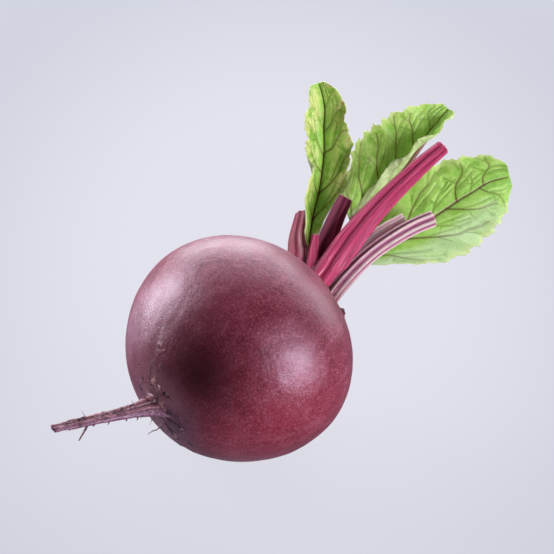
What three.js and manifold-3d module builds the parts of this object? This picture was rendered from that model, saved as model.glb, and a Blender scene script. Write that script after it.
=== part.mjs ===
// Beetroot: one whole root with its taproot, cut leaf stalks and three young leaves, lying on its side.
// Millimetres, +Z up, +X the way the crown points. The origin is the middle of the flat rest spot.
import * as THREE from 'three';
import { mergeVertices } from 'three/addons/utils/BufferGeometryUtils.js';
import Module from 'manifold-3d';

const wasm = await Module();
wasm.setup();

// Driving dimensions of the root
const BULB_RADIUS = 39;
const BULB_CROWN_POLE = 33.5;
const BULB_TAIL_POLE = 36.5;
const AXIS_TILT = 13;
const REST_FLAT_DEPTH = 1.2;
const REST_SPOT_ALONG = 1.5;
const REST_SPOT_FAR = 1.2;
const CROWN_NECK_RADIUS = 12;
const CROWN_NECK_START = 31.5;
const CROWN_TOP = 38.5;
const TAIL_START = 35;
const TAIL_END = 71;
const TAIL_TIP_RADIUS = 1.25;
const TAIL_SWELL = 2.7;
const TAIL_SWELL_LENGTH = 14;
const TAIL_FLARE = 2.8;
const TAIL_FLARE_LENGTH = 2.6;
const TAIL_BEND_FAR = 0.23;
const TAIL_BEND_UP = 0.33;
const TAIL_RISE = 1.4;
const TAIL_RISE_LENGTH = 6;
const TAIL_ROOTED_FROM = 20;

// Broad swellings and flats that make the bulb less than perfectly round. Each has its clock angle, its
// latitude towards the crown, its height off the skin, and its spread, in degrees and millimetres.
const SWELLINGS = [
  { clock: 195, latitude: 50, height: 1.1, spread: 30 },
  { clock: 240, latitude: -24, height: -1.1, spread: 32 },
  { clock: 66, latitude: 28, height: -0.6, spread: 26 },
  { clock: 320, latitude: 10, height: 0.5, spread: 30 },
  { clock: 120, latitude: -20, height: 0.4, spread: 24 },
];

// Where the fine side roots grow: two opposite rows down the bulb and the taproot
const SIDE_ROOT_ROWS = [85, 265];
const SIDE_ROOT_SPACING = 4.4;
const SIDE_ROOT_SINK = 0.8;
const SIDE_ROOT_SIDES = 5;
const SCAR_RADIUS = 0.75;
const SCAR_HEIGHT = 0.5;

// Mesh fineness and the clearance between neighbours
const ROOT_SIDES = 44;
const STALK_RIBS = 7;
const STALK_SIDES = STALK_RIBS * 2;
const STALK_RINGS = 11;
const LEAF_STALK_SIDES = 8;
const LEAF_STALK_RINGS = 20;
const BLADE_STEPS_ALONG = 30;
const BLADE_STEPS_ACROSS = 8;
const BLADE_THICKNESS = 0.8;
const CLEARANCE = 0.3;

// The root's own directions: along its axis to the crown, to the far side, and up across the axis
const tilt = THREE.MathUtils.degToRad(AXIS_TILT);
const ALONG = new THREE.Vector3(Math.cos(tilt), 0, Math.sin(tilt));
const FAR = new THREE.Vector3(0, 1, 0);
const UP = new THREE.Vector3().crossVectors(ALONG, FAR);
const bulbReachDown = Math.hypot(BULB_RADIUS * Math.cos(tilt), BULB_CROWN_POLE * Math.sin(tilt));
const BULB_CENTRE = new THREE.Vector3(-REST_SPOT_ALONG, -REST_SPOT_FAR, bulbReachDown - REST_FLAT_DEPTH);

// Cut stalks. Points are [along, far, up] from the bulb's centre. Widths and depths run from base to tip.
// The groove's angle is counted round the stalk from the side that faces away from the root's axis.
const CUT_STALKS = [
  {
    name: 'stalk_3',
    points: [[31, -4.8, 5.6], [36.5, -5.4, 8.6], [44, -5.8, 13.5], [50.5, -6.2, 17.2], [64, -7.6, 23.1],
      [80, -9.8, 28.4], [90.5, -11.7, 31.4]],
    width: [11, 7.4, 4.8],
    depth: [4.6, 5.4, 4],
    ribHeight: 0.16,
    groove: { angle: -25, depth: 0.24, spread: 22 },
  },
  {
    name: 'stalk_5',
    points: [[31, -8.6, 1.6], [36, -9, 4.4], [40, -9.6, 6.5], [45, -10.1, 8.4], [52, -11, 10.4],
      [60.7, -12.7, 11.8], [68.8, -14.5, 12.2], [76.5, -16.9, 12]],
    width: [6.5, 5.4, 5.4],
    depth: [4.2, 4.4, 4.2],
    ribHeight: 0.32,
    groove: { angle: 180, depth: 0.2, spread: 30 },
  },
  {
    name: 'stalk_1',
    points: [[31, 4.2, 7.8], [34.2, 5.8, 10.9], [37.4, 9, 12.4], [40.8, 12.2, 13.8], [45, 15.4, 14.8],
      [49.6, 18.8, 15.8]],
    width: [8.5, 6.6, 4.6],
    depth: [4, 4.2, 3],
    ribHeight: 0.2,
    groove: { angle: 180, depth: 0.3, spread: 30 },
  },
  {
    name: 'stalk_2',
    points: [[32, -1.5, 1], [37, 0.4, 5.6], [44.2, 1.8, 13.3], [51.7, 2.9, 19.9], [57.8, 3.7, 23.9]],
    width: [7, 7.4, 5],
    depth: [4, 4, 2.6],
    ribHeight: 0.16,
    groove: { angle: 0, depth: 0.22, spread: 24 },
  },
  {
    name: 'stalk_4',
    points: [[32, -4.5, 0], [38, -4.6, 3.2], [44, -4.2, 5.8], [50.5, -4.7, 8.2], [56.5, -5.5, 10.1],
      [62.5, -6.9, 11.3], [70.5, -9, 12]],
    width: [6.5, 5.4, 4.6],
    depth: [4, 4.2, 3.6],
    ribHeight: 0.3,
    groove: { angle: 180, depth: 0.2, spread: 30 },
  },
];

const HEART_SHOOT = {
  name: 'heart_shoot',
  points: [[31, -0.4, 8], [35.5, 0.5, 11], [38.6, 1.8, 14.8], [41.8, 3, 19]],
  width: [4.6, 3.8, 2.2],
  depth: [3.4, 3.2, 2],
  ribHeight: 0.08,
  groove: { angle: 180, depth: 0.1, spread: 30 },
};

// Short stubs of the oldest stalks, on the side of the crown that faces down
const STUB_CLOCKS = [215, 265, 320];
const STUB_LENGTHS = [1.5, 4, 5.5];
const STUB_OUT = 9;
const STUB_LEAN = 18;
const STUB_WIDTH = [8, 6.8, 5.6];
const STUB_DEPTH = [4.2, 4, 3.4];

// Leaves. The midrib runs from the crown to the leaf's tip. face is the side that the upper skin looks to,
// at the base and at the tip, as [along, far, up]. Each half has its width, then in degrees its fold up
// from flat at the base and at the tip, its further bend by the margin, and its veins' lean to the tip.
const LEAVES = [
  {
    name: 'leaf_1',
    midrib: [[32.5, 1.2, 4], [36.8, 3.3, 8.7], [42, 7.5, 14.1], [49.1, 12.3, 17.8], [56.6, 16.4, 21.6],
      [61.4, 18.9, 26], [65.4, 21, 31], [68.6, 23, 37.2], [72, 24.6, 44.6], [73.4, 27, 53.6]],
    face: [[-0.4, -0.75, 0.5], [-0.4, -0.75, 0.5]],
    stalkRadius: [1.7, 1.15, 0.45],
    bladeFrom: 0.16,
    left: { width: 10, widest: 0.45, basePower: 0.5, tipPower: 0.4, fold: [50, 25], bend: 20, lean: 40 },
    right: { width: 9.6, widest: 0.45, basePower: 0.7, tipPower: 0.45, fold: [35, 30], bend: 20, lean: 40 },
    waves: 3.5,
    waveHeight: 0.9,
  },
  {
    name: 'leaf_2',
    midrib: [[33, -1.2, -2], [39, 0.9, 0.4], [49.8, 5, 7.2], [59.6, 6.6, 11.6], [66.2, 6, 13],
      [74.8, 5.4, 15.4], [84.6, 4.8, 18.9], [92.6, 4.7, 22.8], [98.4, 4.3, 25.6], [109, 3.8, 30]],
    face: [[-0.23, 0.4, 0.89], [-0.23, 0.4, 0.89]],
    stalkRadius: [1.7, 1.2, 0.45],
    bladeFrom: 0.37,
    left: { width: 17, widest: 0.25, basePower: 0.22, tipPower: 0.7, fold: [75, 65], bend: 10, lean: 28 },
    right: { width: 6.4, widest: 0.6, basePower: 0.8, tipPower: 0.5, fold: [85, -35], bend: 25, lean: 40 },
    waves: 4,
    waveHeight: 1.1,
  },
  {
    name: 'leaf_3',
    midrib: [[33, -3, -3], [39, -3, -1], [52.8, -3.8, 2.4], [69, -6.7, 3.6], [84.3, -9.7, 5.2],
      [93.4, -11.6, 6.6], [98.2, -12.9, 7.2], [105.6, -14.5, 7.8], [113.4, -17.8, 6.9]],
    face: [[-0.45, -0.5, 0.75], [-0.45, -0.5, 0.75]],
    stalkRadius: [1.8, 1.3, 0.45],
    bladeFrom: 0.24,
    left: { width: 14.6, widest: 0.4, basePower: 0.42, tipPower: 0.5, fold: [10, 5], bend: 0, lean: 28 },
    right: { width: 15.5, widest: 0.4, basePower: 0.9, tipPower: 0.5, fold: [0, -10], bend: -25, lean: 40 },
    waves: 4,
    waveHeight: 1.2,
  },
];

const MATERIALS = {
  skin: { color: 0x6b2a3d, roughness: 0.45 },
  stalk: { color: 0xb04a70, roughness: 0.4 },
  paleStalk: { color: 0xcfa0bd, roughness: 0.45 },
  darkStalk: { color: 0x70304c, roughness: 0.4 },
  leafStalk: { color: 0x6a3a40, roughness: 0.5 },
  leaf: { color: 0x86b045, roughness: 0.45 },
};

// Geometry helpers

// A point given from the bulb's centre along the root's own directions.
function at(along, far, up) {
  return BULB_CENTRE.clone()
    .addScaledVector(ALONG, along)
    .addScaledVector(FAR, far)
    .addScaledVector(UP, up);
}

function direction([along, far, up]) {
  return new THREE.Vector3()
    .addScaledVector(ALONG, along)
    .addScaledVector(FAR, far)
    .addScaledVector(UP, up)
    .normalize();
}

function mix(from, to, share) {
  return from + (to - from) * share;
}

// A value that runs through three stations: base, middle and tip.
function alongThree([base, middle, tip], share) {
  return share < 0.5 ? mix(base, middle, share * 2) : mix(middle, tip, share * 2 - 1);
}

function smoothstep(low, high, value) {
  const share = THREE.MathUtils.clamp((value - low) / (high - low), 0, 1);
  return share * share * (3 - 2 * share);
}

// Seeded numbers from 0 to 1, the same on every run.
function seededRandom(seed) {
  let state = seed;
  return () => {
    state = (state * 1664525 + 1013904223) % 4294967296;
    return state / 4294967296;
  };
}

function signedVolume(positions, index) {
  const a = new THREE.Vector3();
  const b = new THREE.Vector3();
  const c = new THREE.Vector3();
  let volume = 0;
  for (let i = 0; i < index.length; i += 3) {
    a.fromArray(positions, index[i] * 3);
    b.fromArray(positions, index[i + 1] * 3);
    c.fromArray(positions, index[i + 2] * 3);
    volume += a.dot(b.cross(c)) / 6;
  }
  return volume;
}

// One closed body: shared corners merged, empty triangles dropped and every face turned out.
function closedBody(geometry) {
  geometry.deleteAttribute('normal');
  geometry.deleteAttribute('uv');
  const merged = mergeVertices(geometry, 1e-4);
  const corners = merged.index.array;
  const index = [];
  for (let i = 0; i < corners.length; i += 3) {
    const [a, b, c] = [corners[i], corners[i + 1], corners[i + 2]];
    if (a !== b && b !== c && c !== a) {
      index.push(a, b, c);
    }
  }
  if (signedVolume(merged.attributes.position.array, index) < 0) {
    index.reverse();
  }
  merged.setIndex(index);
  return merged;
}

function bodyFromGrid(points, index) {
  const geometry = new THREE.BufferGeometry();
  const corners = points.flatMap((point) => point.toArray());
  geometry.setAttribute('position', new THREE.Float32BufferAttribute(corners, 3));
  geometry.setIndex(index);
  return closedBody(geometry);
}

function toSolid(geometry) {
  return new wasm.Manifold(new wasm.Mesh({
    numProp: 3,
    vertProperties: new Float32Array(geometry.attributes.position.array),
    triVerts: new Uint32Array(geometry.index.array),
  }));
}

// The largest connected piece of a solid, so that a cut leaves no loose scrap.
function largestPiece(solid) {
  return solid.decompose().reduce((best, piece) => (piece.volume() > best.volume() ? piece : best));
}

function toGeometry(solid) {
  const mesh = solid.getMesh();
  const geometry = new THREE.BufferGeometry();
  geometry.setAttribute('position', new THREE.Float32BufferAttribute(mesh.vertProperties, 3));
  geometry.setIndex(new THREE.Uint32BufferAttribute(mesh.triVerts, 1));
  geometry.computeVertexNormals();
  return geometry;
}

function namedMesh(name, geometry, { color, roughness }) {
  const mesh = new THREE.Mesh(geometry, new THREE.MeshStandardMaterial({ color, roughness, metalness: 0 }));
  mesh.name = name;
  return mesh;
}

// A closed tube through rings of points, with a fan at each end.
function ringedBody(rings) {
  const sides = rings[0].length;
  const points = rings.flat();
  const index = [];
  for (let ring = 0; ring + 1 < rings.length; ring += 1) {
    for (let side = 0; side < sides; side += 1) {
      const next = (side + 1) % sides;
      const a = ring * sides + side;
      const b = ring * sides + next;
      index.push(a, b, b + sides, a, b + sides, a + sides);
    }
  }
  const last = (rings.length - 1) * sides;
  const middleOf = (ring) => ring.reduce((sum, p) => sum.add(p), new THREE.Vector3()).divideScalar(sides);
  points.push(middleOf(rings[0]), middleOf(rings[rings.length - 1]));
  for (let side = 0; side < sides; side += 1) {
    const next = (side + 1) % sides;
    index.push(points.length - 2, next, side, points.length - 1, last + side, last + next);
  }
  return bodyFromGrid(points, index);
}

// The root

// The root's radius at a place along its axis, without its unevenness.
function rootRadius(along) {
  const pole = along < 0 ? BULB_TAIL_POLE : BULB_CROWN_POLE;
  const bulb = BULB_RADIUS * Math.sqrt(Math.max(0, 1 - (along / pole) ** 2));
  if (along < 0) {
    const beyond = -along - TAIL_START;
    const swell = TAIL_SWELL * Math.exp(-Math.max(0, beyond) / TAIL_SWELL_LENGTH);
    const flare = TAIL_FLARE * Math.exp(-Math.max(0, beyond) / TAIL_FLARE_LENGTH);
    const rooted = smoothstep(TAIL_ROOTED_FROM, TAIL_START, -along);
    return Math.hypot(bulb, (TAIL_TIP_RADIUS + swell + flare) * rooted);
  }
  const neck = CROWN_NECK_RADIUS * (1 - smoothstep(CROWN_NECK_START, CROWN_TOP, along) ** 2);
  return Math.max(bulb, neck);
}

// How far the swellings lift the skin, which fades out where the taproot and the crown begin.
function unevenness(along, clock) {
  const latitude = Math.asin(THREE.MathUtils.clamp(along / BULB_TAIL_POLE, -1, 1));
  const here = new THREE.Vector3().setFromSphericalCoords(1, Math.PI / 2 - latitude, clock);
  const there = new THREE.Vector3();
  return SWELLINGS.reduce((lift, swelling) => {
    const polar = THREE.MathUtils.degToRad(90 - swelling.latitude);
    there.setFromSphericalCoords(1, polar, THREE.MathUtils.degToRad(swelling.clock));
    const apart = here.angleTo(there) / THREE.MathUtils.degToRad(swelling.spread);
    return lift + swelling.height * Math.exp(-(apart ** 2));
  }, 0) * smoothstep(0, 12, rootRadius(along) - CROWN_NECK_RADIUS);
}

// How far the taproot's own line has bent away from the root's axis.
function tailBend(along) {
  const beyond = Math.max(0, -along - TAIL_START);
  const reach = beyond - 2 * (1 - Math.exp(-beyond / 2));
  const rise = TAIL_RISE * smoothstep(0, TAIL_RISE_LENGTH, beyond);
  return { far: reach * TAIL_BEND_FAR, up: reach * TAIL_BEND_UP + rise };
}

// A point on the root's skin. The clock angle is 0 on the far side and a quarter turn on top.
function skinPoint(along, clock, proud = 0) {
  const bend = tailBend(along);
  const radius = rootRadius(along) + unevenness(along, clock) + proud;
  return at(along, radius * Math.cos(clock) + bend.far, radius * Math.sin(clock) + bend.up);
}

function rootStations() {
  const tail = [];
  const tailSteps = 11;
  for (let step = 0; step < tailSteps; step += 1) {
    tail.push(-mix(TAIL_END, TAIL_START + 0.3, (step / tailSteps) ** 0.75));
  }
  const bulb = [];
  const bulbSteps = 22;
  for (let step = 0; step <= bulbSteps; step += 1) {
    const latitude = THREE.MathUtils.degToRad(mix(-79, 69, step / bulbSteps));
    bulb.push((latitude < 0 ? BULB_TAIL_POLE : BULB_CROWN_POLE) * Math.sin(latitude));
  }
  const neck = [0.12, 0.35, 0.58, 0.78, 0.92].map((share) => mix(CROWN_NECK_START, CROWN_TOP, share));
  return [...tail, ...bulb, ...neck];
}

function rootBody(proud = 0) {
  const stations = rootStations();
  const profile = stations.map((along) => {
    const raised = proud * smoothstep(CROWN_NECK_START, CROWN_TOP, along);
    return new THREE.Vector2(rootRadius(along) + proud, along + raised);
  });
  profile.unshift(new THREE.Vector2(0, -TAIL_END - 0.5));
  profile.push(new THREE.Vector2(0, CROWN_TOP + proud));
  const body = closedBody(new THREE.LatheGeometry(profile, ROOT_SIDES));
  const position = body.attributes.position;
  for (let i = 0; i < position.count; i += 1) {
    const along = position.getY(i);
    const clock = Math.atan2(position.getX(i), position.getZ(i));
    const bend = tailBend(along);
    const lift = unevenness(along, clock);
    const radius = Math.hypot(position.getX(i), position.getZ(i)) + lift;
    const point = at(along, radius * Math.cos(clock) + bend.far, radius * Math.sin(clock) + bend.up);
    position.setXYZ(i, point.x, point.y, point.z);
  }
  return closedBody(body);
}

// A fine side root that leaves the skin, leans to the tail and tapers.
function sideRoot(along, clock, { length, radius, lean, curl }) {
  const foot = skinPoint(along, clock, -SIDE_ROOT_SINK);
  const out = direction([0, Math.cos(clock), Math.sin(clock)]);
  const round = new THREE.Vector3().crossVectors(ALONG, out);
  const heading = out.clone().addScaledVector(ALONG, -Math.tan(lean)).normalize();
  const reach = length + SIDE_ROOT_SINK;
  const middle = foot.clone().addScaledVector(heading, reach * 0.5);
  const tip = foot.clone().addScaledVector(heading, reach * (1 - Math.abs(curl) * 0.3));
  tip.addScaledVector(round, reach * curl);
  const path = new THREE.QuadraticBezierCurve3(foot, middle, tip);
  return taperedTube(path, [radius * 1.3, radius, radius * 0.6], SIDE_ROOT_SIDES, curl === 0 ? 2 : 6);
}

function taperedTube(path, radii, sides, steps) {
  const frames = path.computeFrenetFrames(steps, false);
  const rings = [];
  for (let step = 0; step <= steps; step += 1) {
    const centre = path.getPointAt(step / steps);
    const radius = alongThree(radii, step / steps);
    const ring = [];
    for (let side = 0; side < sides; side += 1) {
      const angle = (side / sides) * Math.PI * 2;
      ring.push(centre.clone()
        .addScaledVector(frames.normals[step], radius * Math.cos(angle))
        .addScaledVector(frames.binormals[step], radius * Math.sin(angle)));
    }
    rings.push(ring);
  }
  return ringedBody(rings);
}

function sideRoots() {
  const random = seededRandom(41);
  const roots = [];
  SIDE_ROOT_ROWS.forEach((degrees) => {
    const row = THREE.MathUtils.degToRad(degrees);
    for (let along = -TAIL_START - 3; along > -TAIL_END + 3; along -= SIDE_ROOT_SPACING) {
      roots.push(sideRoot(along - random() * 1.6, row + (random() - 0.5) * 0.8, {
        length: 0.8 + random() ** 2 * 2.6,
        radius: 0.36,
        lean: 0.5 + random() * 0.4,
        curl: 0,
      }));
    }
    for (let latitude = 72; latitude > 44; latitude -= 8) {
      const along = -BULB_TAIL_POLE * Math.sin(THREE.MathUtils.degToRad(latitude - random() * 4));
      roots.push(sideRoot(along, row + (random() - 0.5) * 0.35, {
        length: SCAR_HEIGHT * (0.6 + random() * 0.6),
        radius: SCAR_RADIUS,
        lean: 0.2,
        curl: 0,
      }));
    }
  });
  const lowerRow = THREE.MathUtils.degToRad(SIDE_ROOT_ROWS[1]);
  roots.push(sideRoot(-60, lowerRow, { length: 6, radius: 0.42, lean: 0.75, curl: 0.25 }));
  roots.push(sideRoot(-39.5, lowerRow, { length: 4.5, radius: 0.38, lean: 1.2, curl: -0.4 }));
  return roots;
}

function buildRoot() {
  const floor = new THREE.BoxGeometry(BULB_RADIUS * 6, BULB_RADIUS * 4, BULB_RADIUS);
  floor.translate(0, 0, -BULB_RADIUS / 2);
  let solid = toSolid(rootBody());
  sideRoots().forEach((root) => {
    solid = solid.add(toSolid(root));
  });
  solid = solid.subtract(toSolid(closedBody(floor)));
  return largestPiece(solid);
}

// Stalks

// A stalk's rings: an oval that faces away from the root's axis, with ribs and one groove.
function stalkRings(stalk, proud = 0) {
  const path = new THREE.CatmullRomCurve3(stalk.points.map((p) => at(...p)), false, 'centripetal');
  const rings = [];
  for (let step = 0; step <= STALK_RINGS; step += 1) {
    const share = step / STALK_RINGS;
    const centre = path.getPointAt(share);
    const tangent = path.getTangentAt(share);
    const [, far, up] = stalk.points[0];
    const out = direction([0, far, up]);
    out.addScaledVector(tangent, -out.dot(tangent)).normalize();
    const side = new THREE.Vector3().crossVectors(tangent, out);
    const end = (step === 0 ? -proud : 0) + (step === STALK_RINGS ? proud : 0);
    rings.push(stalkRing(stalk, share, proud).map(([across, outward]) => centre.clone()
      .addScaledVector(side, across)
      .addScaledVector(out, outward)
      .addScaledVector(tangent, end)));
  }
  return rings;
}

function stalkRing(stalk, share, proud) {
  const halfWidth = alongThree(stalk.width, share) / 2;
  const halfDepth = alongThree(stalk.depth, share) / 2;
  const grooveAngle = THREE.MathUtils.degToRad(stalk.groove.angle);
  const grooveSpread = THREE.MathUtils.degToRad(stalk.groove.spread);
  const ring = [];
  for (let corner = 0; corner < STALK_SIDES; corner += 1) {
    const angle = (corner / STALK_SIDES) * Math.PI * 2;
    const fromGroove = Math.atan2(Math.sin(angle - grooveAngle), Math.cos(angle - grooveAngle));
    const scale = 1 - stalk.groove.depth * Math.exp(-((fromGroove / grooveSpread) ** 2));
    const rib = stalk.ribHeight * Math.cos(STALK_RIBS * angle);
    ring.push([
      Math.sin(angle) * (halfWidth * scale + rib + proud),
      Math.cos(angle) * (halfDepth * scale + rib + proud),
    ]);
  }
  return ring;
}

function stubSpec(order) {
  const clock = THREE.MathUtils.degToRad(STUB_CLOCKS[order]);
  const lean = THREE.MathUtils.degToRad(STUB_LEAN);
  const points = [0, 0.4, 0.7, 1].map((share) => {
    const reach = (STUB_LENGTHS[order] + 5) * share;
    const out = STUB_OUT + reach * Math.sin(lean);
    return [31 + reach * Math.cos(lean), out * Math.cos(clock), out * Math.sin(clock)];
  });
  return {
    name: `stub_${order + 1}`,
    points,
    width: STUB_WIDTH,
    depth: STUB_DEPTH,
    ribHeight: 0.18,
    groove: { angle: 180, depth: 0.25, spread: 30 },
  };
}

// Leaves

function midribPath(leaf) {
  return new THREE.CatmullRomCurve3(leaf.midrib.map((p) => at(...p)), false, 'centripetal');
}

// The midrib's place, its heading, the way the leaf faces and the way its left half lies.
function leafFrame(leaf, path, share) {
  const centre = path.getPointAt(share);
  const tangent = path.getTangentAt(share);
  const face = direction(leaf.face[0]).lerp(direction(leaf.face[1]), share);
  face.addScaledVector(tangent, -face.dot(tangent)).normalize();
  const left = new THREE.Vector3().crossVectors(face, tangent);
  return { centre, tangent, face, left };
}

// A half leaf's width as a share of its widest: a wedge at the base and a blunt round tip.
function leafOutline(half, share) {
  const quarter = Math.PI / 2;
  if (share < half.widest) {
    return Math.sin(quarter * (share / half.widest)) ** half.basePower;
  }
  return Math.cos(quarter * ((share - half.widest) / (1 - half.widest))) ** half.tipPower;
}

// A point of the blade's middle surface. across runs from -1 at the right margin to 1 at the left, and
// proud widens the blade past its margins and its foot.
function bladePoint(leaf, path, share, across, proud = 0) {
  const { centre, tangent, face, left } = leafFrame(leaf, path, mix(leaf.bladeFrom, 1, share));
  const half = across < 0 ? leaf.right : leaf.left;
  const reach = Math.abs(across);
  const scallop = 1 + 0.035 * reach * Math.sin(share * Math.PI * 2 * leaf.waves * 2.3 + across);
  const outline = leafOutline(half, share);
  const width = (0.9 + half.width * outline) * scallop + proud;
  const fold = THREE.MathUtils.degToRad(mix(half.fold[0], half.fold[1], share));
  const bend = THREE.MathUtils.degToRad(half.bend);
  const angle = fold + (bend * reach) / 2;
  const wavePhase = share * Math.PI * 2 * leaf.waves + across * 1.3;
  const forward = width * reach * Math.tan(THREE.MathUtils.degToRad(half.lean)) * Math.sqrt(1 - share);
  const wave = leaf.waveHeight * outline * reach ** 2 * Math.sin(wavePhase);
  return centre
    .addScaledVector(tangent, share === 0 ? forward - proud : forward)
    .addScaledVector(left, Math.sign(across) * (width * reach * Math.cos(angle) - wave * Math.sin(angle)))
    .addScaledVector(face, width * reach * Math.sin(angle) + wave * Math.cos(angle));
}

function bladeNormal(leaf, path, share, across) {
  const step = 0.004;
  const low = THREE.MathUtils.clamp(share, step, 1 - step);
  const alongTheLeaf = bladePoint(leaf, path, low + step, across)
    .sub(bladePoint(leaf, path, low - step, across));
  const edge = THREE.MathUtils.clamp(across, -1 + step, 1 - step);
  const acrossTheLeaf = bladePoint(leaf, path, share, edge + step * 8)
    .sub(bladePoint(leaf, path, share, edge - step * 8));
  return acrossTheLeaf.cross(alongTheLeaf).negate().normalize();
}

// A thin waved sheet. Both skins are split into triangles alike, and a rim joins them.
function bladeBody(leaf, proud = 0) {
  const path = midribPath(leaf);
  const rows = BLADE_STEPS_ALONG + 1;
  const columns = BLADE_STEPS_ACROSS + 1;
  const skins = [0.5, -0.5].map((side) => {
    const skin = [];
    for (let row = 0; row < rows; row += 1) {
      const share = 0.985 * (1 - (1 - row / BLADE_STEPS_ALONG) ** 1.25);
      for (let column = 0; column < columns; column += 1) {
        const across = (column / BLADE_STEPS_ACROSS) * 2 - 1;
        const normal = bladeNormal(leaf, path, share, across);
        const lift = side * (BLADE_THICKNESS + 2 * proud);
        skin.push(bladePoint(leaf, path, share, across, proud).addScaledVector(normal, lift));
      }
    }
    return skin;
  });
  const count = rows * columns;
  const index = [];
  for (let row = 0; row + 1 < rows; row += 1) {
    for (let column = 0; column + 1 < columns; column += 1) {
      const a = row * columns + column;
      const [b, c, d] = [a + 1, a + columns + 1, a + columns];
      index.push(a, b, c, a, c, d, a + count, c + count, b + count, a + count, d + count, c + count);
    }
  }
  const rim = [];
  for (let column = 0; column + 1 < columns; column += 1) {
    rim.push(column);
  }
  for (let row = 0; row + 1 < rows; row += 1) {
    rim.push(row * columns + columns - 1);
  }
  for (let column = columns - 1; column > 0; column -= 1) {
    rim.push((rows - 1) * columns + column);
  }
  for (let row = rows - 1; row > 0; row -= 1) {
    rim.push(row * columns);
  }
  rim.forEach((corner, order) => {
    const next = rim[(order + 1) % rim.length];
    index.push(corner, corner + count, next + count, corner, next + count, next);
  });
  return bodyFromGrid(skins.flat(), index);
}

// The leaf's stalk, which runs on under the blade as its midrib.
function leafStalkRings(leaf, proud = 0) {
  const path = midribPath(leaf);
  const rings = [];
  for (let step = 0; step <= LEAF_STALK_RINGS; step += 1) {
    const share = (step / LEAF_STALK_RINGS) * 0.93;
    const { centre, tangent, face, left } = leafFrame(leaf, path, share);
    const radius = alongThree(leaf.stalkRadius, share);
    const underBlade = smoothstep(leaf.bladeFrom - 0.16, leaf.bladeFrom - 0.03, share);
    const drop = underBlade * (radius + BLADE_THICKNESS / 2 + CLEARANCE * 1.4);
    const end = step === 0 ? -proud : 0;
    const ring = [];
    for (let side = 0; side < LEAF_STALK_SIDES; side += 1) {
      const angle = (side / LEAF_STALK_SIDES) * Math.PI * 2;
      ring.push(centre.clone()
        .addScaledVector(left, (radius + proud) * Math.sin(angle))
        .addScaledVector(face, (radius + proud) * Math.cos(angle) - drop)
        .addScaledVector(tangent, end));
    }
    rings.push(ring);
  }
  return rings;
}

// Assembly

const beetroot = new THREE.Group();
beetroot.name = 'beetroot';
beetroot.add(namedMesh('beet_root', toGeometry(buildRoot()), MATERIALS.skin));

// Each stalk is cut clear of the crown, of the blades and of the stalks that were placed before it.
const placed = [toSolid(rootBody(CLEARANCE)), ...LEAVES.map((leaf) => toSolid(bladeBody(leaf, CLEARANCE)))];

function addStalk(name, makeRings, material) {
  let solid = toSolid(ringedBody(makeRings(0)));
  placed.forEach((neighbour) => {
    solid = solid.subtract(neighbour);
  });
  placed.push(toSolid(ringedBody(makeRings(CLEARANCE))));
  beetroot.add(namedMesh(name, toGeometry(largestPiece(solid)), material));
}

const STALK_MATERIALS = {
  stalk_2: MATERIALS.darkStalk,
  stalk_4: MATERIALS.paleStalk,
  stalk_5: MATERIALS.paleStalk,
};

const stubs = STUB_CLOCKS.map((clock, order) => stubSpec(order));
[...CUT_STALKS, HEART_SHOOT].forEach((stalk) => {
  addStalk(stalk.name, (proud) => stalkRings(stalk, proud), STALK_MATERIALS[stalk.name] ?? MATERIALS.stalk);
});
LEAVES.forEach((leaf) => {
  addStalk(`${leaf.name}_stalk`, (proud) => leafStalkRings(leaf, proud), MATERIALS.leafStalk);
});
stubs.forEach((stub) => {
  addStalk(stub.name, (proud) => stalkRings(stub, proud), MATERIALS.darkStalk);
});
LEAVES.forEach((leaf) => {
  beetroot.add(namedMesh(`${leaf.name}_blade`, bladeBody(leaf), MATERIALS.leaf));
});

export default beetroot;
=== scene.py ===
"""The looks of the beetroot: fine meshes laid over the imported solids, their materials, light and camera.

Shapes follow the same rules as the solids, in millimetres, and are turned to metres as each mesh is made.
"""
import math

import bpy
import numpy as np
from mathutils import Matrix, Vector


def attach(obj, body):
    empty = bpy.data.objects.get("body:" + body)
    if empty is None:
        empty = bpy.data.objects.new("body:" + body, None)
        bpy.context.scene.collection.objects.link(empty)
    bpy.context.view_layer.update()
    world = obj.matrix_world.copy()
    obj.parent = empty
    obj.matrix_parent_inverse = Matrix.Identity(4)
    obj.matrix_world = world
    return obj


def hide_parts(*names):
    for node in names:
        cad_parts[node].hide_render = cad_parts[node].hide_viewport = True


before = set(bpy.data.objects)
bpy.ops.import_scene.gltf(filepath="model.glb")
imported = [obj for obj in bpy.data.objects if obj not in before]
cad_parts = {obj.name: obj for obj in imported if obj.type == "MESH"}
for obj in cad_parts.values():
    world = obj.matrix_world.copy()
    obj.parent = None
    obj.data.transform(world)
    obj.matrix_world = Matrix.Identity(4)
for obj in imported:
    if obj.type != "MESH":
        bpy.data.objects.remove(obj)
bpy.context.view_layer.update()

MM = 0.001

# The root, as in the solids
BULB_RADIUS = 39.0
BULB_CROWN_POLE = 33.5
BULB_TAIL_POLE = 36.5
AXIS_TILT = math.radians(13)
REST_FLAT_DEPTH = 1.2
REST_SPOT_ALONG = 1.5
REST_SPOT_FAR = 1.2
CROWN_NECK_RADIUS = 12.0
CROWN_NECK_START = 31.5
CROWN_TOP = 38.5
TAIL_START = 35.0
TAIL_END = 71.0
TAIL_TIP_RADIUS = 1.25
TAIL_SWELL = 2.7
TAIL_SWELL_LENGTH = 14.0
TAIL_FLARE = 2.8
TAIL_FLARE_LENGTH = 2.6
TAIL_BEND_FAR = 0.23
TAIL_BEND_UP = 0.33
TAIL_RISE = 1.4
TAIL_RISE_LENGTH = 6.0
TAIL_ROOTED_FROM = 20.0
SWELLINGS = [  # clock and latitude in degrees, height in millimetres, spread in degrees
    (195, 50, 1.1, 30),
    (240, -24, -1.1, 32),
    (66, 28, -0.6, 26),
    (320, 10, 0.5, 30),
    (120, -20, 0.4, 24),
]
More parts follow.
